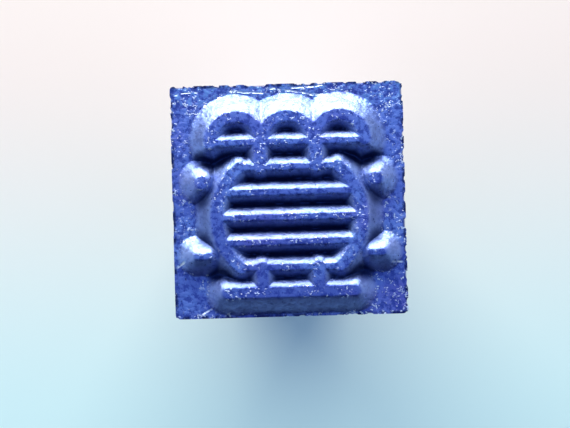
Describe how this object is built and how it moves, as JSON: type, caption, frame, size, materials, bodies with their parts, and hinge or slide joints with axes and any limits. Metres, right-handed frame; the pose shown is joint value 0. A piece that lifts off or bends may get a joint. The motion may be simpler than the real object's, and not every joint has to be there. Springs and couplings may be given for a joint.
{
  "type": "typewriter key stamp",
  "caption": "Single type for a typewriter or hand stamp: a square cast head with a raised printing figure, pinned on a square steel shank with a round gripper neck.",
  "frame": {"origin": "middle of the foot, on the face that it stands on", "axes": "+Z from the foot to the printing face, +X to the right and +Y to the top of the figure when the printing face is looked at squarely; the nick is on the -Y side"},
  "size_m": [0.005, 0.005, 0.02],
  "materials": {
    "type_metal": "as cast, grainy, with dark residue between the strokes",
    "shim_brass": "rolled, satin",
    "shank_steel": "milled and turned, handled",
    "pin_steel": "ground ends",
    "hard_steel": "hardened and ground, peened by use"
  },
  "bodies": {
    "root": {"type_head": "type_metal", "height_shim": "shim_brass", "shank": "shank_steel", "cross_pin": "pin_steel", "heel_plug": "hard_steel"}
  },
  "joints": []
}
